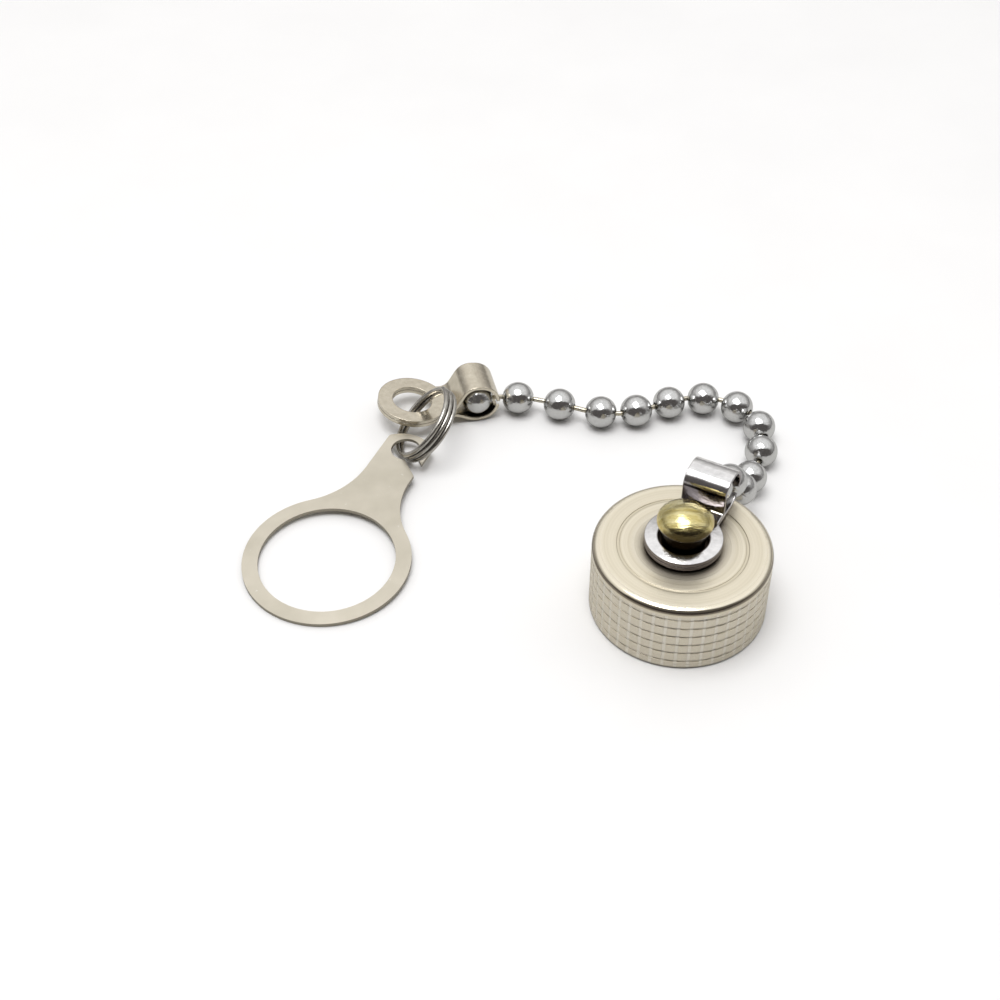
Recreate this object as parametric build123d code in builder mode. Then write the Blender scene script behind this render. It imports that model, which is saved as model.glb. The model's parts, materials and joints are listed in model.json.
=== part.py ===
from build123d import *
import os
from math import cos, radians, sin

# Screw cap with a retaining bead chain, a split ring and a flat ring tag, as it lies on a table.
# Millimetres. The origin is on the cap's axis, in the plane of its open mouth. +Z is up.

# ---- cap ----
cap_radius = 8.0
cap_height = 7.3
cap_edge_round = 0.6
cap_foot_chamfer = 0.15
thread_major_radius = 6.0       # M12 x 1 inside thread
thread_pitch = 1.0
thread_depth = 0.54
thread_minor_radius = thread_major_radius - thread_depth
thread_root_half_width = 0.07   # in pitches
thread_crest_half_width = 0.42  # in pitches
groove_mouth_overlap = 0.15     # the cut starts this far inside the bore
thread_overrun = 1.0            # how far the cut runs on past each end of the thread
thread_length = 4.3
relief_radius = 6.1             # plain seat for the gasket, above the thread
relief_top = 5.7
mouth_chamfer = 0.4
groove_width = 0.2              # turned grooves round the side
groove_depth = 0.12
groove_heights = [0.95, 2.0, 3.02, 4.08, 5.12, 6.16]
knurl_count = 45
knurl_depth = 0.04
knurl_width = 0.28
knurl_bottom = 0.5
knurl_top = 6.5
face_ring_radius = 5.7          # faint turned step in the flat face
face_ring_width = 0.25
face_ring_depth = 0.06

# ---- gasket ----
gasket_radius = 5.9
gasket_hole_radius = 2.9
gasket_thickness = 1.0
gasket_edge_chamfer = 0.12

# ---- rivet on the cap's axis ----
rivet_head_radius = 2.5
rivet_dome_rise = 1.15          # above the widest part
rivet_head_bottom = 9.75
rivet_head_round = 0.5          # under the widest part
rivet_neck_radius = 1.95
rivet_tenon_radius = 1.2
rivet_tail_radius = 2.1
rivet_tail_thickness = 0.5
rivet_tail_chamfer = 0.2
rivet_shoulder = 0.71           # the dome passes through this share of its radius and of its rise

# ---- bead chain ----
bead_radius = 1.6
bead_wall = 0.2
bead_hole_radius = 0.36
pin_shank_radius = 0.24
pin_head_radius = 0.39
pin_head_spacing = 2.5
hole_reach = bead_radius - bead_wall / 2    # bead centre to the middle of its hole

# ---- folded couplings ----
strip_thickness = 0.35
strip_start = 2.7               # where the straight strip leaves the round leaves
strip_return = 4.0              # where the strip is flat again under the barrel
leaf_gap = 0.05
leaf_radius = 3.45
strip_width = 4.1
slot_width = 1.3
slot_mouth_width = 0.62
slot_corner_round = 0.3
strip_edge_round = 0.08

# ---- split ring ----
split_ring_radius = 3.81        # to the middle of the wire
split_ring_wire_radius = 0.24
split_ring_pitch = 0.52
split_ring_turns = 2.5

# ---- ring tag ----
tag_thickness = 0.35
tag_hole_radius = 6.4
tag_ring_radius = 7.87
tag_tail_width = 4.8
tag_tail_end = 18.0             # from the ring's centre
tag_tail_bow = 1.0              # the tail's end bows out by this
tag_flare_radius = 8.2
tag_corner_radius = 0.4
tag_eye_reach = 15.9
tag_eye_radius = 1.45
tag_slot_width = 1.24
tag_slot_angle = 228            # degrees, from the tail's direction to the slot's

# ---- how the pieces lie ----
cap_coupling_heading = 62.5     # degrees, from the cap's axis to the barrel
cap_coupling_height = 8.0       # of the gap between the eyelet leaves
ring_barrel_centre = Vector(-18.6, 26.75, 2.2)
ring_coupling_reach = 6.4       # from the eyelets' centre to the barrel's axis, along the strip
ring_coupling_rise = 1.25
ring_coupling_heading = 13.0
ring_coupling_lift = 9.5        # degrees that the eyelets are raised
split_ring_centre = (-23.405, 20.738, 3.193)
split_ring_heading = 0.6
split_ring_dip = 42.6
split_ring_start = 60.3
tag_ring_centre = (-32.1, 4.72)
tag_heading = 64.8
tag_lift = 2.26

# The chain leaves the cap's coupling, drops to the table and winds to the ring's coupling.
chain_waypoints = [
    (3.11, 5.32, 9.38),
    (5.3, 8.9, 6.4),
    (6.75, 11.35, 3.3),
    (8.75, 16.3, 1.65),
    (9.9, 20.9, 1.63),
    (7.7, 25.1, 1.63),
    (3.6, 26.3, 1.63),
    (-1.0, 24.9, 1.63),
    (-4.7, 24.1, 1.63),
    (-8.4, 24.9, 1.63),
    (-13.0, 26.2, 1.63),
    (-18.4, 25.87, 2.12),
]
taut_pitch = 4.35
slack_pitch = 3.6
drawn_pitch = 4.3
link_pitches = [taut_pitch] * 4 + [slack_pitch] * 6 + [drawn_pitch] * 3


def heading(angle, rise=0.0):
    """Unit vector at a plan angle and a rise, both in degrees."""
    return Vector(
        cos(radians(angle)) * cos(radians(rise)),
        sin(radians(angle)) * cos(radians(rise)),
        sin(radians(rise)),
    )


def axis_plane(centre, direction):
    """Plane at a centre whose normal is a direction and whose x axis is level."""
    level = Vector(0, 0, 1).cross(direction)
    return Plane(origin=centre, x_dir=level, z_dir=direction)


def chain_stations():
    """Bead centres along the chain's path, by the pitch of each link."""
    path = Spline(*chain_waypoints)
    distance = 0.0
    centres = [path @ 0]
    for pitch in link_pitches[:-1]:
        distance += pitch
        centres.append(path.position_at(distance, position_mode=PositionMode.LENGTH))
    centres.append(path @ 1)
    return centres


def bead_directions(centres, rounds=60, blend=0.25):
    """Each bead's axis: beads turn until the two pins through them lean equally."""
    steps = [(b - a).normalized() for a, b in zip(centres, centres[1:])]
    axes = steps + steps[-1:]
    for _ in range(rounds):
        pins = pin_directions(centres, axes)
        leans = [a + b for a, b in zip(pins[:1] + pins, pins + pins[-1:])]
        axes = [
            (axis * (1 - blend) + lean.normalized() * blend).normalized()
            for axis, lean in zip(axes, leans)
        ]
    return axes


def pin_directions(centres, axes):
    """Direction of each pin, from the hole it leaves to the hole it enters."""
    exits = [c + a * hole_reach for c, a in zip(centres, axes)]
    entries = [c - a * hole_reach for c, a in zip(centres, axes)]
    return [(b - a).normalized() for a, b in zip(exits[:-1], entries[1:])]


def folded_coupling(
    frame, reach, rise, barrel, hole_radius, wall_top, wall_foot, wall_rounds, slot_angle, slot_span
):
    """One strip: two eyelet leaves, a front wall, a rolled barrel and the return to the lower leaf.

    frame has its origin at the eyelets' centre, x towards the barrel and z up through the leaves.
    reach and rise place the barrel's axis, barrel is its outside radius, and wall_top and wall_foot
    are where the front wall meets the roof line and the upper leaf.
    """
    leaf_offset = (strip_thickness + leaf_gap) / 2
    mid_radius = barrel - strip_thickness / 2
    roof = rise + mid_radius
    floor = rise - mid_radius
    section = Plane(origin=frame.origin, x_dir=frame.x_dir, z_dir=-frame.y_dir)
    barrel_centre = frame.from_local_coords(Vector(reach, 0, rise))
    outward = frame.x_dir * cos(radians(slot_angle)) + frame.z_dir * sin(radians(slot_angle))
    slot_plane = Plane(origin=barrel_centre, x_dir=frame.y_dir, z_dir=outward)

    with BuildPart() as coupling:
        with BuildSketch(section):
            with BuildLine():
                FilletPolyline(
                    (strip_start, leaf_offset),
                    (wall_foot, leaf_offset),
                    (wall_top, roof),
                    (reach, roof),
                    radius=wall_rounds,
                )
                CenterArc((reach, rise), mid_radius, 90, -180)
                Spline(
                    (reach, floor),
                    (strip_return, -leaf_offset),
                    tangents=((-1, 0), (-1, 0)),
                )
                Line((strip_return, -leaf_offset), (strip_start, -leaf_offset))
            trace(line_width=strip_thickness)
        extrude(amount=strip_width / 2, both=True)
        end_edges = edges().group_by(Axis(frame.origin, frame.y_dir))
        fillet(end_edges[0] + end_edges[-1], strip_edge_round)
        for side in (-1, 1):
            with BuildSketch(frame.offset(side * leaf_offset)):
                Circle(leaf_radius)
            extrude(amount=strip_thickness / 2, both=True)
        with BuildSketch(frame):
            Circle(hole_radius)
        extrude(amount=barrel, both=True, mode=Mode.SUBTRACT)
        slot_middle = (slot_span[0] + slot_span[1]) / 2
        with BuildSketch(slot_plane):
            with Locations((slot_middle, 0)):
                RectangleRounded(slot_span[1] - slot_span[0], slot_width, slot_corner_round)
            with Locations((-strip_width / 2, 0)):
                Rectangle(strip_width / 2, slot_mouth_width)
        extrude(amount=barrel * 1.5, mode=Mode.SUBTRACT)
    return coupling


# ---------------------------------------------------------------- cap shell
with BuildPart() as thread_groove:
    with BuildLine() as groove_path:
        Helix(
            pitch=thread_pitch,
            height=thread_length + 2 * thread_overrun,
            radius=thread_minor_radius,
            center=(0, 0, -thread_overrun),
        )
    groove_start = Plane(
        origin=groove_path.line @ 0, x_dir=(1, 0, 0), z_dir=groove_path.line % 0
    )
    with BuildSketch(groove_start):
        with BuildLine():
            Polyline(
                (-groove_mouth_overlap, thread_crest_half_width * thread_pitch),
                (thread_depth, thread_root_half_width * thread_pitch),
                (thread_depth, -thread_root_half_width * thread_pitch),
                (-groove_mouth_overlap, -thread_crest_half_width * thread_pitch),
                close=True,
            )
        make_face()
    sweep(path=groove_path.line, is_frenet=True)

with BuildPart() as cap_shell:
    with BuildSketch(Plane.XZ):
        with BuildLine():
            Polyline(
                (thread_minor_radius + mouth_chamfer, 0),
                (cap_radius - cap_foot_chamfer, 0),
                (cap_radius, cap_foot_chamfer),
                (cap_radius, cap_height),
                (rivet_tenon_radius, cap_height),
                (rivet_tenon_radius, relief_top),
                (relief_radius, relief_top),
                (relief_radius, thread_length),
                (thread_minor_radius, thread_length),
                (thread_minor_radius, mouth_chamfer),
                close=True,
            )
        make_face()
        fillet(vertices().group_by(Axis.Y)[-1].sort_by(Axis.X)[-1], cap_edge_round)
        for height in groove_heights:
            with Locations((cap_radius, height)):
                Rectangle(2 * groove_depth, groove_width, mode=Mode.SUBTRACT)
        with Locations((face_ring_radius, cap_height)):
            Rectangle(face_ring_width, 2 * face_ring_depth, mode=Mode.SUBTRACT)
    revolve(axis=Axis.Z)
    add(thread_groove.part, mode=Mode.SUBTRACT)
    with BuildSketch(Plane.XY.offset(knurl_bottom)):
        with PolarLocations(cap_radius, knurl_count):
            Rectangle(2 * knurl_depth, knurl_width)
    extrude(amount=knurl_top - knurl_bottom, mode=Mode.SUBTRACT)

# ---------------------------------------------------------------- gasket
with BuildPart() as sealing_gasket:
    with BuildSketch(Plane.XY.offset(relief_top - gasket_thickness)):
        Circle(gasket_radius)
        Circle(gasket_hole_radius, mode=Mode.SUBTRACT)
    extrude(amount=gasket_thickness)
    chamfer(edges().group_by(Axis.Z)[0], gasket_edge_chamfer)

# ---------------------------------------------------------------- rivet
with BuildPart() as cap_rivet:
    with BuildSketch(Plane.XZ):
        with BuildLine():
            Polyline(
                (0, relief_top - rivet_tail_thickness),
                (rivet_tail_radius - rivet_tail_chamfer, relief_top - rivet_tail_thickness),
                (rivet_tail_radius, relief_top - rivet_tail_thickness + rivet_tail_chamfer),
                (rivet_tail_radius, relief_top),
                (rivet_tenon_radius, relief_top),
                (rivet_tenon_radius, cap_height),
                (rivet_neck_radius, cap_height),
                (rivet_neck_radius, rivet_head_bottom),
                (rivet_head_radius - rivet_head_round, rivet_head_bottom),
            )
            dome_base = rivet_head_bottom + rivet_head_round
            CenterArc((rivet_head_radius - rivet_head_round, dome_base), rivet_head_round, -90, 90)
            Spline(
                (rivet_head_radius, dome_base),
                (rivet_head_radius * rivet_shoulder, dome_base + rivet_dome_rise * rivet_shoulder),
                (0, dome_base + rivet_dome_rise),
                tangents=((0, 1), (-1, 0)),
            )
            Line((0, dome_base + rivet_dome_rise), (0, relief_top - rivet_tail_thickness))
        make_face()
    revolve(axis=Axis.Z)

# ---------------------------------------------------------------- couplings
cap_coupling_frame = Plane(
    origin=(0, 0, cap_coupling_height), x_dir=heading(cap_coupling_heading), z_dir=(0, 0, 1)
)
cap_end_coupling = folded_coupling(
    cap_coupling_frame,
    reach=6.15,
    rise=1.38,
    barrel=2.0,
    hole_radius=2.3,
    wall_top=4.4,
    wall_foot=4.3,
    wall_rounds=[0.4, 1.1],
    slot_angle=-34,
    slot_span=(-1.4, 0.8),
)

ring_coupling_up = heading(ring_coupling_heading, 90 - ring_coupling_lift)
ring_coupling_out = heading(ring_coupling_heading, -ring_coupling_lift)
ring_coupling_frame = Plane(
    origin=ring_barrel_centre
    - ring_coupling_out * ring_coupling_reach
    - ring_coupling_up * ring_coupling_rise,
    x_dir=ring_coupling_out,
    z_dir=ring_coupling_up,
)
ring_end_coupling = folded_coupling(
    ring_coupling_frame,
    reach=ring_coupling_reach,
    rise=ring_coupling_rise,
    barrel=2.15,
    hole_radius=2.0,
    wall_top=5.1,
    wall_foot=3.9,
    wall_rounds=[1.3, 1.5],
    slot_angle=2,
    slot_span=(-1.7, 0.7),
)

# ---------------------------------------------------------------- bead chain
bead_centres = chain_stations()
bead_axes = bead_directions(bead_centres)
pin_axes = pin_directions(bead_centres, bead_axes)

chain_beads = []
for centre, direction in zip(bead_centres, bead_axes):
    bead_plane = axis_plane(centre, direction)
    with BuildPart() as chain_bead:
        with BuildSketch(Plane(origin=centre, x_dir=bead_plane.x_dir, z_dir=-bead_plane.y_dir)):
            Circle(bead_radius)
            Circle(bead_radius - bead_wall, mode=Mode.SUBTRACT)
            with Locations((bead_hole_radius, 0)):
                Rectangle(
                    2 * bead_radius,
                    2 * bead_radius,
                    align=(Align.MAX, Align.CENTER),
                    mode=Mode.SUBTRACT,
                )
        revolve(axis=Axis(centre, direction))
    chain_beads.append(chain_bead)

chain_pins = []
for number, direction in enumerate(pin_axes):
    exit_hole = bead_centres[number] + bead_axes[number] * hole_reach
    entry_hole = bead_centres[number + 1] - bead_axes[number + 1] * hole_reach
    pin_plane = axis_plane((exit_hole + entry_hole) / 2, direction)
    with BuildPart() as chain_pin:
        with BuildSketch(pin_plane):
            Circle(pin_shank_radius)
        extrude(amount=pin_head_spacing / 2, both=True)
        for side in (-1, 1):
            with Locations(pin_plane.offset(side * pin_head_spacing / 2)):
                Sphere(pin_head_radius)
    chain_pins.append(chain_pin)

# ---------------------------------------------------------------- split ring
ring_axis = heading(split_ring_heading, -split_ring_dip)
ring_level = axis_plane(split_ring_centre, ring_axis).x_dir
split_ring_plane = Plane(
    origin=split_ring_centre,
    x_dir=ring_level.rotate(Axis((0, 0, 0), ring_axis), split_ring_start),
    z_dir=ring_axis,
)
coil_height = split_ring_pitch * split_ring_turns

with BuildLine() as upright_coil:
    Helix(
        pitch=split_ring_pitch,
        height=coil_height,
        radius=split_ring_radius,
        center=(0, 0, -coil_height / 2),
    )
coil = split_ring_plane.location * upright_coil.line

with BuildPart() as split_ring:
    with BuildSketch(Plane(origin=coil @ 0, z_dir=coil % 0)):
        Circle(split_ring_wire_radius)
    sweep(path=coil, is_frenet=True)

# ---------------------------------------------------------------- ring tag
tag_x = heading(tag_heading, tag_lift)
tag_z = heading(tag_heading, tag_lift + 90)
tag_centre_height = tag_thickness / 2 + tag_ring_radius * sin(radians(tag_lift))
tag_plane = Plane(origin=(*tag_ring_centre, tag_centre_height), x_dir=tag_x, z_dir=tag_z)
tail_shoulder = tag_tail_end - tag_tail_bow

with BuildPart() as ring_tag:
    with BuildSketch(tag_plane):
        Circle(tag_ring_radius)
        with BuildLine():
            Polyline(
                (tail_shoulder, -tag_tail_width / 2),
                (0, -tag_tail_width / 2),
                (0, tag_tail_width / 2),
                (tail_shoulder, tag_tail_width / 2),
            )
            ThreePointArc(
                (tail_shoulder, tag_tail_width / 2),
                (tag_tail_end, 0),
                (tail_shoulder, -tag_tail_width / 2),
            )
        make_face()
        tail_corners = vertices().group_by(Axis.X)[-1]
        fillet(tail_corners, tag_corner_radius)
        tail_roots = vertices().filter_by(
            lambda v: v.X < tag_ring_radius and abs(abs(v.Y) - tag_tail_width / 2) < 0.01
        )
        fillet(tail_roots, tag_flare_radius)
        Circle(tag_hole_radius, mode=Mode.SUBTRACT)
        with Locations((tag_eye_reach, 0)):
            Circle(tag_eye_radius, mode=Mode.SUBTRACT)
            Rectangle(
                tag_tail_width,
                tag_slot_width,
                rotation=tag_slot_angle,
                align=(Align.MIN, Align.CENTER),
                mode=Mode.SUBTRACT,
            )
    extrude(amount=tag_thickness / 2, both=True)

# ---------------------------------------------------------------- export
pieces = {
    "cap_shell": cap_shell,
    "sealing_gasket": sealing_gasket,
    "cap_rivet": cap_rivet,
    "cap_end_coupling": cap_end_coupling,
    "ring_end_coupling": ring_end_coupling,
    "split_ring": split_ring,
    "ring_tag": ring_tag,
}
for number, piece in enumerate(chain_beads, start=1):
    pieces[f"chain_bead_{number:02d}"] = piece
for number, piece in enumerate(chain_pins, start=1):
    pieces[f"chain_pin_{number:02d}"] = piece

os.makedirs("parts", exist_ok=True)
for name, piece in pieces.items():
    piece.part.label = name
    export_step(piece.part, f"parts/{name}.step")
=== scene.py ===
import json
import math

import bmesh
import bpy
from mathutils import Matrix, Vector


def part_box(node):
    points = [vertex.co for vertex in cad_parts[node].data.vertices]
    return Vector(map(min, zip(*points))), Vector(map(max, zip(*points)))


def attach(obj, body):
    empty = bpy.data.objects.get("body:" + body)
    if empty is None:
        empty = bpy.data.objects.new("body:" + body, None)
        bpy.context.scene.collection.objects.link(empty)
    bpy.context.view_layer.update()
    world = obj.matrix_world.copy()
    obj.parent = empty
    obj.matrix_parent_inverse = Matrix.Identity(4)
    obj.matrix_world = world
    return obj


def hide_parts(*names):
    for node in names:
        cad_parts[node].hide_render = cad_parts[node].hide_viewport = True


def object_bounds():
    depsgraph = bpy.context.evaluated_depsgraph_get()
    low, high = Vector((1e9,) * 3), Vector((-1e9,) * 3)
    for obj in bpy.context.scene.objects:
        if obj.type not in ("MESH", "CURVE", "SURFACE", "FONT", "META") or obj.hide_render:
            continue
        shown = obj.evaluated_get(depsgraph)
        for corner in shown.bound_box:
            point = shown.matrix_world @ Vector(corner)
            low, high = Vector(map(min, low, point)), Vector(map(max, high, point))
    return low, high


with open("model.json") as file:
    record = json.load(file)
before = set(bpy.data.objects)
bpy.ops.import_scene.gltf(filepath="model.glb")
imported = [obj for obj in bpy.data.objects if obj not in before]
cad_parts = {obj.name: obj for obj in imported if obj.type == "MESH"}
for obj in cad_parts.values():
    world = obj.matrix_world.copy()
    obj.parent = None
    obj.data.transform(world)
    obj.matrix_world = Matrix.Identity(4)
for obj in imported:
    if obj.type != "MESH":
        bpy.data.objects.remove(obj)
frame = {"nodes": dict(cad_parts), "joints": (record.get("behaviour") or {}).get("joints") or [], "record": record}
cad_bounds = [list(corner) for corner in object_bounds()]

MM = 0.001
nodes = frame["nodes"]
joints = {joint["name"]: joint for joint in frame["joints"]}
material_of_node = {
    part["node"]: part["material_slot"] for part in frame["record"]["subparts"]
}


# ------------------------------------------------------------------ node trees
class Tree:
    """A shader node tree, written as small calls."""

    def __init__(self, tree):
        self.tree = tree

    def add(self, kind, **settings):
        node = self.tree.nodes.new(kind)
        for key, value in settings.items():
            setattr(node, key, value)
        return node

    def feed(self, socket, value):
        """Links a socket to another one, or sets its value."""
        if isinstance(value, bpy.types.NodeSocket):
            self.tree.links.new(value, socket)
        else:
            socket.default_value = value

    def vector(self, operation, first, second=None, scale=None):
        node = self.add("ShaderNodeVectorMath", operation=operation)
        self.feed(node.inputs[0], first)
        if second is not None:
            self.feed(node.inputs[1], second)
        if scale is not None:
            self.feed(node.inputs["Scale"], scale)
        gives_number = operation in ("LENGTH", "DOT_PRODUCT")
        return node.outputs["Value" if gives_number else "Vector"]

    def math(self, operation, *values):
        node = self.add("ShaderNodeMath", operation=operation)
        for socket, value in zip(node.inputs, values):
            self.feed(socket, value)
        return node.outputs[0]

    def times(self, first, second):
        return self.math("MULTIPLY", first, second)

    def split(self, vector):
        node = self.add("ShaderNodeSeparateXYZ")
        self.feed(node.inputs[0], vector)
        return node.outputs

    def join(self, x, y, z=0.0):
        node = self.add("ShaderNodeCombineXYZ")
        for socket, value in zip(node.inputs, (x, y, z)):
            self.feed(socket, value)
        return node.outputs[0]

    def spread(self, value, low, high, to_low=0.0, to_high=1.0, smooth=False):
        """Maps low..high to to_low..to_high and holds it there."""
        node = self.add("ShaderNodeMapRange")
        node.interpolation_type = "SMOOTHSTEP" if smooth else "LINEAR"
        for index, number in enumerate((value, low, high, to_low, to_high)):
            self.feed(node.inputs[index], number)
        return node.outputs[0]

    def mix(self, share, first, second):
        node = self.add("ShaderNodeMix", data_type="RGBA")
        self.feed(node.inputs["Factor"], share)
        self.feed(node.inputs["A"], first)
        self.feed(node.inputs["B"], second)
        return node.outputs["Result"]

    def ramp(self, value, stops):
        """Grey or coloured levels at positions from 0 to 1."""
        node = self.add("ShaderNodeValToRGB")
        self.feed(node.inputs[0], value)
        elements = node.color_ramp.elements
        while len(elements) < len(stops):
            elements.new(0.5)
        for element, (position, colour) in zip(elements, stops):
            element.position = position
            element.color = colour
        return node.outputs[0]


class Finish(Tree):
    """A material. Lengths inside it are millimetres in the object's own frame."""

    def __init__(self, name):
        self.material = bpy.data.materials.new(name)
        self.material.use_nodes = True
        super().__init__(self.material.node_tree)
        self.shader = self.tree.nodes["Principled BSDF"]
        coordinates = self.add("ShaderNodeTexCoord").outputs["Object"]
        self.place = self.vector("SCALE", coordinates, scale=1 / MM)
        self.x, self.y, self.z = self.split(self.place)
        self.from_axis = self.vector("LENGTH", self.join(self.x, self.y))

    def level(self):
        """1 on a horizontal surface, 0 on a wall."""
        normal = self.add("ShaderNodeNewGeometry").outputs["Normal"]
        return self.math("ABSOLUTE", self.split(normal)[2])

    def noise(self, vector, scale, detail=4.0, rough=0.55, stretch=None):
        """Noise from 0 to 1; scale is features per millimetre, stretch squeezes each axis."""
        if stretch is not None:
            vector = self.vector("MULTIPLY", vector, stretch)
        node = self.add("ShaderNodeTexNoise")
        self.feed(node.inputs["Vector"], vector)
        node.inputs["Scale"].default_value = scale
        node.inputs["Detail"].default_value = detail
        node.inputs["Roughness"].default_value = rough
        return node.outputs["Fac"]

    def cavity(self, reach, low, high):
        """Open sky near a point, 0 to 1 in corners and in the open, as a share of low..high."""
        node = self.add("ShaderNodeAmbientOcclusion", samples=6)
        node.inputs["Distance"].default_value = reach * MM
        return self.spread(node.outputs["AO"], low, high)

    def bump(self, height, depth, below=None):
        """Bump of a height from 0 to 1, where 1 stands `depth` millimetres proud."""
        node = self.add("ShaderNodeBump")
        node.inputs["Strength"].default_value = 1.0
        node.inputs["Distance"].default_value = depth * MM
        self.feed(node.inputs["Height"], height)
        if below is not None:
            self.feed(node.inputs["Normal"], below)
        return node.outputs["Normal"]

    def soft_edges(self, radius):
        """Normal with every edge worn round by a radius in millimetres."""
        node = self.add("ShaderNodeBevel", samples=6)
        node.inputs["Radius"].default_value = radius * MM
        return node.outputs["Normal"]

    def done(self, colour, rough, normal=None, metallic=1.0):
        self.feed(self.shader.inputs["Base Color"], colour)
        self.feed(self.shader.inputs["Roughness"], rough)
        self.feed(self.shader.inputs["Metallic"], metallic)
        if normal is not None:
            self.feed(self.shader.inputs["Normal"], normal)
        return self.material


def rgb(red, green, blue):
    return (red, green, blue, 1.0)


# ------------------------------------------------------------------ the cap's material
FLUTES = 45
RIM_REACH = 0.75            # of the rounded rim, down the side and in over the face
GROOVE_REACH = 0.10         # the full depth of a turned groove
NECK_SHADE_RADIUS = 2.35          # of the painted shade round the rivet's neck
SHADE_RADIUS = 5.4          # inside it the coupling shades the face


class CapZones:
    """Where a point lies on the cap, each zone as a share from 0 to 1."""

    def __init__(self, paint):
        low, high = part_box("cap_shell")
        self.top = high.z / MM
        self.depth = paint.math("SUBTRACT", (high.x - low.x) / 2 / MM, paint.from_axis)
        self.on_face = paint.spread(paint.level(), 0.90, 0.995)
        below_rim = paint.spread(paint.z, self.top - RIM_REACH, self.top - 0.62, 1.0, 0.0)
        self.on_side = paint.times(paint.spread(self.depth, 0.45, 0.35), below_rim)
        off_side = paint.math("SUBTRACT", 1.0, self.on_side)
        self.on_rim = paint.times(paint.spread(self.depth, RIM_REACH, 0.60), off_side)

        turn = paint.math("ARCTAN2", paint.y, paint.x)
        phase = paint.math("MULTIPLY_ADD", turn, FLUTES / (2 * math.pi), 0.5)
        from_flute = paint.math("SUBTRACT", paint.math("FRACT", phase), 0.5)
        from_flute = paint.math("ABSOLUTE", from_flute)
        self.in_flute = paint.times(paint.spread(from_flute, 0.16, 0.10), self.on_side)
        self.in_groove = paint.spread(self.depth, GROOVE_REACH / 2, GROOVE_REACH)


def cap_side_tone(paint, zones, grain):
    """Plain plate, a painted highlight in the flutes, lighter groove bottoms and patchy painted shade in the
    grooves.
    """
    tone = paint.mix(
        paint.spread(grain, 0.3, 0.7), rgb(0.715, 0.655, 0.535), rgb(0.825, 0.770, 0.655)
    )
    # painted highlight: the flutes are lighter, for the bright things their cut flats reflect
    tone = paint.mix(paint.times(zones.in_flute, 0.55), tone, rgb(0.93, 0.90, 0.83))
    # painted shade: patchy darkening in the grooves, weaker in the flutes
    patchy = paint.noise(paint.place, 0.55, detail=3.0, stretch=(1.0, 1.0, 3.0))
    groove_shade = paint.times(zones.in_groove, paint.spread(patchy, 0.40, 0.62, 0.0, 0.45))
    groove_shade = paint.times(groove_shade, paint.spread(zones.in_flute, 0.0, 1.0, 1.0, 0.55))
    tone = paint.mix(zones.in_groove, tone, rgb(1.0, 0.97, 0.90))
    return paint.mix(groove_shade, tone, rgb(0.210, 0.180, 0.130))


def turned_nickel():
    """Satin nickel on turned brass: rings on the face, a polished rim, grooves and flutes."""
    paint = Finish("turned_nickel")
    zones = CapZones(paint)
    fine_rings = paint.noise(paint.join(paint.from_axis, 0.0), 7.0, detail=5.0, rough=0.7)
    broad_rings = paint.noise(paint.join(paint.from_axis, 4.0), 1.3, detail=2.0)
    rings = paint.math("MULTIPLY_ADD", broad_rings, 0.5, paint.times(fine_rings, 0.6))
    side_lines = paint.noise(paint.join(paint.z, 9.0), 9.0, detail=4.0, rough=0.7)
    grain = paint.noise(paint.place, 12.0, detail=3.0, rough=0.6)
    patches = paint.noise(paint.place, 0.9, detail=3.0)

    tone = paint.mix(
        paint.spread(rings, 0.40, 0.70), rgb(0.690, 0.622, 0.470), rgb(0.935, 0.868, 0.722)
    )
    tone = paint.mix(zones.on_side, tone, cap_side_tone(paint, zones, grain))
    warm = paint.times(paint.spread(patches, 0.52, 0.70), 0.25)
    tone = paint.mix(warm, tone, rgb(0.80, 0.74, 0.58))
    # painted shade: dark round the rivet's neck, where the head's dark underside is mirrored
    neck_shade = paint.spread(paint.from_axis, NECK_SHADE_RADIUS, 2.75, 0.96, 0.0)
    shaded = paint.times(
        paint.cavity(1.6, 0.92, 0.45), paint.spread(paint.from_axis, SHADE_RADIUS, 4.6)
    )
    # painted shadow of the coupling and painted shade round the neck, on the face only
    shaded = paint.times(paint.math("MAXIMUM", neck_shade, shaded), zones.on_face)
    tone = paint.mix(shaded, tone, rgb(0.075, 0.055, 0.045))
    # painted shade: darker at the foot, where the cap meets the floor
    foot_shade = paint.spread(paint.z, 0.10, 0.32, 1.0, 0.0)
    tone = paint.mix(paint.times(foot_shade, 0.75), tone, rgb(0.20, 0.18, 0.14))
    # painted reflection: a dark band just under the rounded rim
    rim_dark_reflection = paint.times(
        paint.spread(paint.z, zones.top - 0.18, zones.top - 0.28),
        paint.spread(paint.z, zones.top - 0.56, zones.top - 0.44),
    )
    rim_dark_reflection = paint.times(rim_dark_reflection, paint.spread(zones.depth, 0.60, 0.50))
    tone = paint.mix(paint.times(rim_dark_reflection, 0.78), tone, rgb(0.080, 0.055, 0.042))

    rough_face = paint.spread(fine_rings, 0.3, 0.7, 0.27, 0.42)
    rough_side = paint.spread(side_lines, 0.3, 0.7, 0.32, 0.46)
    rough = paint.mix(zones.on_side, rough_face, rough_side)
    rough = paint.times(rough, paint.spread(zones.on_rim, 0.0, 1.0, 1.0, 0.42))

    normal = paint.soft_edges(0.09)
    normal = paint.bump(paint.times(rings, zones.on_face), 0.040, below=normal)
    side_height = paint.times(paint.math("ADD", side_lines, grain), zones.on_side)
    normal = paint.bump(side_height, 0.010, below=normal)
    return paint.done(tone, rough, normal)


# ------------------------------------------------------------------ the rivet's material
HEAD_HEIGHT = 1.65
CROWN_RADIUS = 2.6
FRONT_REFLECTION_LEAN = (0.69, 0.72)     # across and up, so the painted dark reflection lies low on the front
FRONT_REFLECTION_EDGE = (6.50, 7.05)


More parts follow.
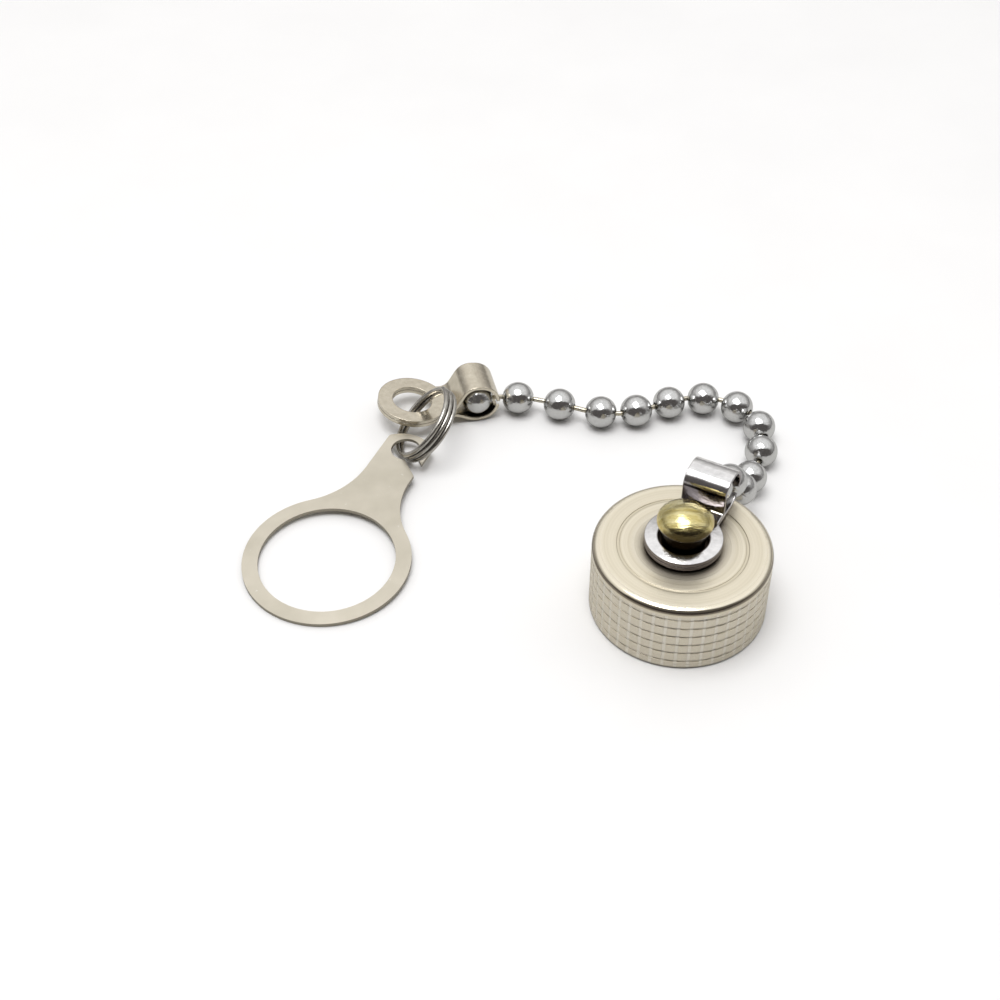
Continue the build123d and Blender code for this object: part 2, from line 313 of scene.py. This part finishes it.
def polished_brass():
    """Bare brass head, polished, with light rubs, a few pits and a painted dark reflection low on its front."""
    paint = Finish("polished_brass")
    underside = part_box("cap_rivet")[1].z / MM - HEAD_HEIGHT
    rubs = paint.noise(paint.place, 1.4, stretch=(0.55, 1.6, 1.0))
    scratches = paint.noise(paint.place, 6.0, rough=0.7, stretch=(0.25, 1.4, 3.0))
    pits = paint.noise(paint.place, 9.0, detail=2.0)

    tone = paint.mix(
        paint.spread(rubs, 0.3, 0.72), rgb(0.600, 0.490, 0.170), rgb(0.860, 0.770, 0.420)
    )
    # painted shade in the head's hollows and corners
    tone = paint.mix(paint.cavity(0.8, 0.3, 0.9), rgb(0.11, 0.075, 0.025), tone)
    # painted shade: the neck dark under the head
    neck = paint.times(
        paint.spread(paint.from_axis, 1.95, 2.15, 1.0, 0.0),
        paint.spread(paint.z, underside - 0.35, underside - 0.15, 1.0, 0.0),
    )
    tone = paint.mix(neck, tone, rgb(0.055, 0.040, 0.018))
    # painted reflection: the head's lower front darkened, for the dark things it mirrors
    across, upward = FRONT_REFLECTION_LEAN
    front = paint.math("ADD", paint.times(paint.y, across), paint.times(paint.z, upward))
    front = paint.math("ADD", front, paint.times(rubs, 0.5))
    front_reflection = paint.spread(front, *FRONT_REFLECTION_EDGE, 0.90, 0.0, smooth=True)
    tone = paint.mix(front_reflection, tone, rgb(0.040, 0.025, 0.009))

    rough = paint.spread(scratches, 0.35, 0.75, 0.05, 0.16)
    crown = paint.math("POWER", paint.math("DIVIDE", paint.from_axis, CROWN_RADIUS), 2.0)
    normal = paint.bump(paint.times(crown, -1.0), 0.62)
    wear = paint.math("ADD", paint.times(rubs, 0.8), paint.times(scratches, 0.2))
    normal = paint.bump(wear, 0.075, below=normal)
    normal = paint.bump(paint.spread(pits, 0.68, 0.74, 1.0, 0.0), 0.01, below=normal)
    return paint.done(tone, rough, normal)


# ------------------------------------------------------------------ other metals and rubber
LEAVES_TOP = 1.15           # of the cap coupling's eyelet leaves, above its lowest point
LEAF_HOLE_REFLECTION = (2.28, 2.42)
LEAF_DOME = (2.2, 3.6)
DOME_FALL = 0.36


def on_leaves(paint, radii):
    """Fades from 1 to 0 over two radii from the rivet's axis, on the eyelet leaves only."""
    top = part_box("cap_end_coupling")[0].z / MM + LEAVES_TOP
    low_enough = paint.spread(paint.z, top, top + 0.10, 1.0, 0.0)
    return paint.times(paint.spread(paint.from_axis, *radii, 1.0, 0.0), low_enough)


def plated(name, tones, roughness, scratch, wave, on_rivet=False):
    """Nickel plate on formed sheet: drawn scratches, a slight orange peel, painted shade in the corners."""
    paint = Finish(name)
    peel = paint.noise(paint.place, 1.6, detail=3.0, rough=0.5)
    scratches = paint.noise(paint.place, 5.0, detail=5.0, rough=0.7, stretch=(0.35, 2.4, 1.1))
    dust = paint.noise(paint.place, 16.0, detail=2.0)
    tone = paint.mix(paint.spread(peel, 0.3, 0.7), *tones)
    # painted shade in the corners
    tone = paint.mix(paint.cavity(0.5, 0.25, 0.9), rgb(0.16, 0.145, 0.12), tone)
    normal = paint.soft_edges(0.10)
    if on_rivet:
        # painted reflection: the walls darkened, for the dark front they face
        wall = paint.spread(paint.level(), 0.12, 0.80, 0.85, 0.0)
        tone = paint.mix(wall, tone, rgb(0.120, 0.095, 0.100))
        # painted shade where other parts come close
        tone = paint.mix(paint.cavity(1.6, 0.30, 0.62), rgb(0.16, 0.13, 0.12), tone)
        # painted reflection: the leaves dark round the hole, mirroring the head's dark underside
        tone = paint.mix(on_leaves(paint, LEAF_HOLE_REFLECTION), tone, rgb(0.050, 0.034, 0.022))
        normal = paint.bump(on_leaves(paint, LEAF_DOME), DOME_FALL, below=normal)
    rough = paint.spread(scratches, 0.3, 0.72, *roughness)
    rough = paint.math("ADD", rough, paint.spread(dust, 0.6, 0.75, 0.0, 0.06))
    normal = paint.bump(scratches, scratch, below=normal)
    normal = paint.bump(peel, wave, below=normal)
    return paint.done(tone, rough, normal)


def bead_plate():
    """Bright plate on small formed balls: shallow dents, tiny scuffs, painted shade in the hollows and a painted
    dark reflection towards the outline.
    """
    paint = Finish("bead_plate")
    dents = paint.noise(paint.place, 1.5, detail=2.5, rough=0.5)
    scuffs = paint.noise(paint.place, 7.0, detail=5.0, rough=0.72, stretch=(1.0, 0.6, 1.8))
    tone = paint.mix(
        paint.spread(scuffs, 0.3, 0.7), rgb(0.52, 0.52, 0.515), rgb(0.76, 0.76, 0.755)
    )
    # painted shade in the hollows and where the beads meet
    tone = paint.mix(paint.cavity(0.3, 0.3, 0.9), rgb(0.12, 0.115, 0.11), tone)
    # painted reflection: the tone darkens towards the silhouette
    edge = paint.add("ShaderNodeLayerWeight")
    edge.inputs["Blend"].default_value = 0.5
    outline = paint.spread(edge.outputs["Facing"], 0.62, 0.97, 0.0, 0.72)
    tone = paint.mix(outline, tone, rgb(0.10, 0.10, 0.098))
    rough = paint.spread(scuffs, 0.3, 0.75, 0.07, 0.19)
    normal = paint.bump(scuffs, 0.006, below=paint.bump(dents, 0.05))
    return paint.done(tone, rough, normal)


def drawn_wire(name, tones, roughness):
    """Drawn steel wire: long streaks, dull patches."""
    paint = Finish(name)
    streaks = paint.noise(paint.place, 6.0, rough=0.65, stretch=(1.6, 0.7, 1.6))
    patches = paint.noise(paint.place, 0.9, detail=3.0)
    tone = paint.mix(paint.spread(patches, 0.35, 0.65), *tones)
    # painted shade in the crevices
    tone = paint.mix(paint.cavity(0.3, 0.2, 0.85), rgb(0.09, 0.08, 0.07), tone)
    rough = paint.spread(streaks, 0.3, 0.7, *roughness)
    return paint.done(tone, rough, paint.bump(streaks, 0.006))


def satin_sheet():
    """Stamped sheet: fine rolled grain, faint stains, a few marks, painted shade on the cut edges."""
    paint = Finish("satin_sheet")
    grain = paint.noise(paint.place, 8.0, detail=5.0, rough=0.7, stretch=(3.0, 0.5, 1.0))
    stain = paint.noise(paint.place, 0.22, detail=3.0)
    fleck = paint.noise(paint.place, 1.9, detail=2.0)
    tone = paint.mix(
        paint.spread(stain, 0.35, 0.65), rgb(0.590, 0.548, 0.455), rgb(0.680, 0.632, 0.535)
    )
    tone = paint.mix(paint.spread(fleck, 0.70, 0.78, 0.0, 0.5), tone, rgb(0.86, 0.84, 0.80))
    # painted shade: the cut edges and other walls darker than the flat faces
    tone = paint.mix(paint.spread(paint.level(), 0.5, 0.9), rgb(0.36, 0.33, 0.27), tone)
    rough = paint.spread(grain, 0.3, 0.7, 0.34, 0.46)
    normal = paint.bump(stain, 0.05, below=paint.bump(grain, 0.004))
    return paint.done(tone, rough, normal)


def black_rubber():
    """Moulded rubber disc with a fine matt texture."""
    paint = Finish("black_rubber")
    grain = paint.noise(paint.place, 12.0)
    bloom = paint.noise(paint.place, 0.6, detail=3.0)
    tone = paint.mix(
        paint.spread(bloom, 0.35, 0.7), rgb(0.020, 0.020, 0.021), rgb(0.048, 0.047, 0.045)
    )
    rough = paint.spread(grain, 0.3, 0.7, 0.62, 0.82)
    return paint.done(tone, rough, paint.bump(grain, 0.02), metallic=0.0)


MATERIALS = {
    "cap_nickel": turned_nickel(),
    "rivet_brass": polished_brass(),
    "gasket_rubber": black_rubber(),
    "bright_nickel": plated(
        "bright_plate", (rgb(0.78, 0.77, 0.77), rgb(0.92, 0.91, 0.91)), (0.06, 0.16),
        scratch=0.004, wave=0.02, on_rivet=True,
    ),
    "soft_nickel": plated(
        "soft_plate", (rgb(0.64, 0.58, 0.47), rgb(0.74, 0.68, 0.56)), (0.17, 0.27),
        scratch=0.0012, wave=0.012,
    ),
    "bead_nickel": bead_plate(),
    "pin_wire": drawn_wire(
        "pin_wire", (rgb(0.52, 0.47, 0.36), rgb(0.66, 0.62, 0.52)), (0.22, 0.36)
    ),
    "ring_wire": drawn_wire(
        "spring_wire", (rgb(0.40, 0.38, 0.35), rgb(0.56, 0.54, 0.50)), (0.16, 0.30)
    ),
    "tag_sheet": satin_sheet(),
}


def dress(piece, slot):
    piece.data.materials.clear()
    piece.data.materials.append(MATERIALS[slot])


for node_name, node_piece in nodes.items():
    dress(node_piece, material_of_node[node_name])


# ------------------------------------------------------------------ beads
BEAD_WALL = 0.20 * MM
BEAD_HOLE = 0.36 * MM
SEAM_DEPTH = 0.030 * MM
SEAM_HALF_WIDTH = 0.045 * MM
SHELL_STEPS = 44
INNER_STEPS = 16
LIP_STEPS = 6
ROUND_STEPS = 52


def arc(hub, radius, start, sweep, steps, with_ends, seam_share):
    """Points of an arc as (along, out, share of the seam's depth)."""
    numbers = range(steps + 1) if with_ends else range(1, steps)
    turns = [start + sweep * number / steps for number in numbers]
    return [
        (hub[0] + radius * math.cos(turn), hub[1] + radius * math.sin(turn), seam_share)
        for turn in turns
    ]


def bead_outline(radius):
    """Closed half-section of a bead: outer shell, round lip, inner shell, round lip."""
    lip = BEAD_WALL / 2
    middle = radius - lip
    first = math.asin((BEAD_HOLE + lip) / middle)
    shell = math.pi - 2 * first
    along, out = middle * math.cos(first), middle * math.sin(first)
    return (
        arc((0, 0), radius, first, shell, SHELL_STEPS, True, 1.0)
        + arc((-along, out), lip, math.pi - first, math.pi, LIP_STEPS, False, 0.0)
        + arc((0, 0), radius - BEAD_WALL, math.pi - first, -shell, INNER_STEPS, True, 0.0)
        + arc((along, out), lip, math.pi + first, math.pi, LIP_STEPS, False, 0.0)
    )


def seamed_turns(radius):
    """Angles round the bead, close together at the seam, each with its share of the seam's depth."""
    step = SEAM_HALF_WIDTH / radius
    open_turn = 2 * math.pi - 6 * step
    seam = [(-2 * step, 0.12), (-step, 0.55), (0.0, 1.0), (step, 0.55), (2 * step, 0.12)]
    plain = [
        (3 * step + open_turn * number / ROUND_STEPS, 0.0) for number in range(ROUND_STEPS + 1)
    ]
    return seam + plain


def bead_mesh(name, centre, axis, radius):
    """A bead rolled from strip: a hollow ball with rounded holes and one fine seam between them."""
    outline = bead_outline(radius)
    level = axis.cross(Vector((0, 0, 1))).normalized()
    upright = level.cross(axis).normalized()
    seam_side = (level * 0.9 - upright * 0.45).normalized()
    across = axis.cross(seam_side).normalized()

    shape = bmesh.new()
    rings = []
    for turn, share in seamed_turns(radius):
        out = seam_side * math.cos(turn) + across * math.sin(turn)
        sink = SEAM_DEPTH * share / radius
        rings.append([
            shape.verts.new(centre + (axis * u + out * r) * (1 - sink * seam_share))
            for u, r, seam_share in outline
        ])
    for one, two in zip(rings, rings[1:] + rings[:1]):
        for number in range(len(outline)):
            after = (number + 1) % len(outline)
            shape.faces.new((one[number], one[after], two[after], two[number]))
    bmesh.ops.recalc_face_normals(shape, faces=shape.faces)
    mesh = bpy.data.meshes.new(name)
    shape.to_mesh(mesh)
    shape.free()
    for face in mesh.polygons:
        face.use_smooth = True
    bead = bpy.data.objects.new(name, mesh)
    bpy.context.scene.collection.objects.link(bead)
    return bead


def string_beads():
    """Puts a rolled bead in place of each plain one, along the axis between its two hinges."""
    for node in sorted(nodes):
        if not node.startswith("chain_bead_"):
            continue
        number = node[-2:]
        low, high = (Vector(corner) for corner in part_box(node))
        centre = (low + high) / 2
        leaving = joints.get(f"pin_{number}_turn")
        entering = joints.get(f"bead_{number}_nod")
        ahead = Vector(leaving["pos_m"]) if leaving else 2 * centre - Vector(entering["pos_m"])
        behind = Vector(entering["pos_m"]) if entering else 2 * centre - Vector(leaving["pos_m"])
        axis = (ahead - behind).normalized()
        bead = bead_mesh(f"rolled_bead_{number}", centre, axis, max(high - low) / 2)
        dress(bead, "bead_nickel")
        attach(bead, f"bead_{number}")
        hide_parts(node)


string_beads()


# ------------------------------------------------------------------ floor
FLOOR_SIZE = 2.4
FLOOR_GAP = 0.02 * MM


def pale_floor():
    """A near-white floor, which metal sees as a softer grey than the camera does."""
    half = FLOOR_SIZE / 2
    corners = [(-half, -half, 0), (half, -half, 0), (half, half, 0), (-half, half, 0)]
    mesh = bpy.data.meshes.new("floor")
    mesh.from_pydata(corners, [], [(0, 1, 2, 3)])
    floor = bpy.data.objects.new("floor", mesh)
    bpy.context.scene.collection.objects.link(floor)
    floor.location.z = cad_bounds[0][2] - FLOOR_GAP

    paint = Finish("pale_floor")
    mottle = paint.noise(paint.place, 0.05, detail=3.0)
    tone = paint.mix(
        paint.spread(mottle, 0.3, 0.7), rgb(0.90, 0.895, 0.893), rgb(0.925, 0.92, 0.918)
    )
    seen_by_camera = paint.add("ShaderNodeLightPath").outputs["Is Camera Ray"]
    tone = paint.mix(seen_by_camera, rgb(0.64, 0.635, 0.62), tone)
    paint.shader.inputs["Specular IOR Level"].default_value = 0.2
    mesh.materials.append(paint.done(tone, 0.6, metallic=0.0))


# ------------------------------------------------------------------ light
SKY = [                     # from straight down to straight up
    (0.00, rgb(0.50, 0.50, 0.50)),
    (0.47, rgb(0.28, 0.275, 0.27)),
    (0.52, rgb(0.24, 0.235, 0.23)),
    (0.60, rgb(0.38, 0.375, 0.37)),
    (0.70, rgb(0.52, 0.51, 0.50)),
    (0.78, rgb(0.82, 0.81, 0.80)),
    (0.84, rgb(0.96, 0.955, 0.95)),
    (1.00, rgb(1.02, 1.02, 1.02)),
]
BLACK = rgb(0, 0, 0)
WHITE = rgb(1, 1, 1)
OVERHEAD = (-0.10, -0.22, 0.97)
OVERHEAD_LIGHT = rgb(2.1, 2.1, 2.1)
DARK_FRONT = rgb(0.115, 0.106, 0.102)
DARK_FRONT_MIDDLE = 31.0    # degrees above the horizon
DARK_FRONT_SIDE = 0.98
DARK_FRONT_RISE = 0.58


def share_of_reach(tree, axis, reach, direction):
    """Square of how far a direction leans along an axis, against the reach."""
    lean = tree.math("ABSOLUTE", tree.vector("DOT_PRODUCT", direction, axis))
    return tree.math("POWER", tree.math("DIVIDE", lean, reach), 2.0)


def dark_front(tree, direction):
    """1 inside a ragged ellipse of directions low in front of the object, 0 outside it."""
    middle = math.radians(DARK_FRONT_MIDDLE)
    ahead = (0.0, -math.cos(middle), math.sin(middle))
    upward = (0.0, math.sin(middle), math.cos(middle))
    ragged = tree.add("ShaderNodeTexNoise")
    tree.feed(ragged.inputs["Vector"], direction)
    ragged.inputs["Scale"].default_value = 3.5
    reach = tree.math(
        "ADD",
        share_of_reach(tree, (1, 0, 0), DARK_FRONT_SIDE, direction),
        share_of_reach(tree, upward, DARK_FRONT_RISE, direction),
    )
    wobble = tree.math("MULTIPLY_ADD", ragged.outputs["Fac"], 0.8, -0.4)
    reach = tree.math("ADD", reach, wobble)
    behind = tree.math("LESS_THAN", tree.vector("DOT_PRODUCT", direction, ahead), 0.0)
    reach = tree.math("ADD", reach, tree.times(behind, 5.0))
    return tree.ramp(tree.times(reach, 0.5), [(0.40, WHITE), (0.56, BLACK)])


def studio_world():
    """A bright tent with a lamp overhead and a dark front, which gives bright metal its bands."""
    world = bpy.data.worlds.new("studio")
    bpy.context.scene.world = world
    world.use_nodes = True
    world.node_tree.nodes.clear()
    tree = Tree(world.node_tree)

    direction = tree.add("ShaderNodeTexCoord").outputs["Generated"]
    rise = tree.vector("DOT_PRODUCT", direction, (0, 0, 1))
    light = tree.ramp(tree.math("MULTIPLY_ADD", rise, 0.5, 0.5), SKY)
    overhead = tree.vector("DOT_PRODUCT", direction, Vector(OVERHEAD).normalized())
    lamp = tree.ramp(overhead, [(0.93, BLACK), (0.975, WHITE)])
    light = tree.mix(lamp, light, OVERHEAD_LIGHT)
    light = tree.mix(dark_front(tree, direction), light, DARK_FRONT)
    seen_by_camera = tree.add("ShaderNodeLightPath").outputs["Is Camera Ray"]
    light = tree.mix(seen_by_camera, light, WHITE)

    background = tree.add("ShaderNodeBackground")
    tree.feed(background.inputs["Color"], light)
    tree.feed(tree.add("ShaderNodeOutputWorld").inputs[0], background.outputs[0])


def key_light():
    """A broad soft lamp above the object, for its shadows."""
    lamp = bpy.data.lights.new("key", "AREA")
    lamp.shape = "RECTANGLE"
    lamp.size, lamp.size_y = 0.28, 0.22
    lamp.energy = 0.80
    key = bpy.data.objects.new("key", lamp)
    key.location = (-0.06, -0.03, 0.42)
    aim = Vector((-0.01, 0.0, 0.0))
    key.rotation_euler = (aim - key.location).to_track_quat("-Z", "Y").to_euler()
    bpy.context.scene.collection.objects.link(key)


# ------------------------------------------------------------------ camera
CAMERA_RISE = 44.04         # degrees
CAMERA_DISTANCE = 161.6 * MM
CAMERA_LENS = 60.3
AIM_FROM_CAP = (-16.06 * MM, 13.2 * MM)     # from the cap's axis to the middle of the view


def place_camera():
    """Looks along +Y, close in, at the floor between the cap and the tag."""
    low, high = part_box("cap_shell")
    cap = (Vector(low) + Vector(high)) / 2
    aim = Vector((cap.x + AIM_FROM_CAP[0], cap.y + AIM_FROM_CAP[1], low.z))
    rise = math.radians(CAMERA_RISE)
    back = Vector((0.0, -math.cos(rise), math.sin(rise)))
    lens = bpy.data.cameras.new("camera")
    lens.lens = CAMERA_LENS
    lens.clip_start = 0.005
    camera = bpy.data.objects.new("camera", lens)
    camera.location = aim + back * CAMERA_DISTANCE
    camera.rotation_euler = (-back).to_track_quat("-Z", "Y").to_euler()
    bpy.context.scene.collection.objects.link(camera)
    bpy.context.scene.camera = camera


pale_floor()
studio_world()
key_light()
place_camera()
bpy.context.scene.view_settings.view_transform = "Standard"
